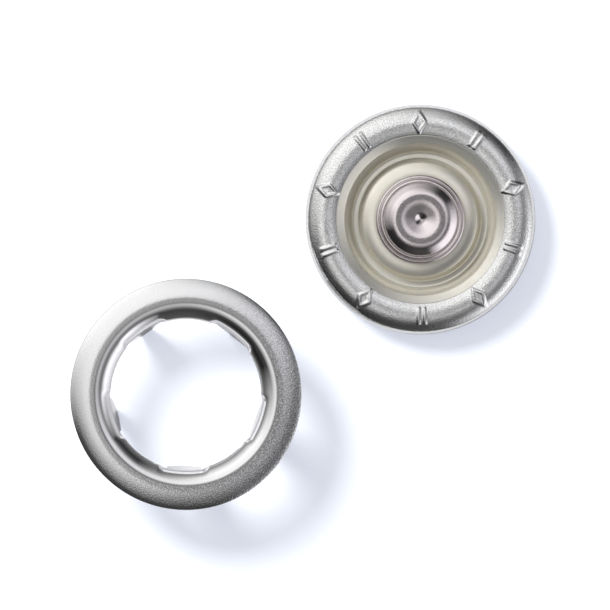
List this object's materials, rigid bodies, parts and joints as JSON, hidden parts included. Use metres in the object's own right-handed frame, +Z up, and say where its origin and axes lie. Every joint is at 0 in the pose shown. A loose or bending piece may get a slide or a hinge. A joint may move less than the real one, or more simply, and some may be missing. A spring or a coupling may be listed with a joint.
{
  "type": "snap fastener",
  "caption": "Press snap fastener, stud side: an open ring with prongs on its back, beside a beaded stud part with a cream lining and a headed stud.",
  "frame": {"origin": "midway between the two loose pieces, on the surface that they lie on", "axes": "+Z up along the stud, out of its head; +X from the prong ring towards the stud part"},
  "size_m": [0.0226, 0.01, 0.0034],
  "materials": {
    "ring_metal": "satin nickel plate on a drawn sheet ring",
    "base_metal": "bright nickel plate on a drawn sheet base",
    "insert_plastic": "cream, slightly translucent moulding",
    "stud_metal": "polished nickel plate on a headed rivet"
  },
  "bodies": {
    "root": {"prong_ring": "ring_metal", "channel_base": "base_metal", "dish_insert": "insert_plastic", "rivet_stud": "stud_metal"}
  },
  "joints": []
}
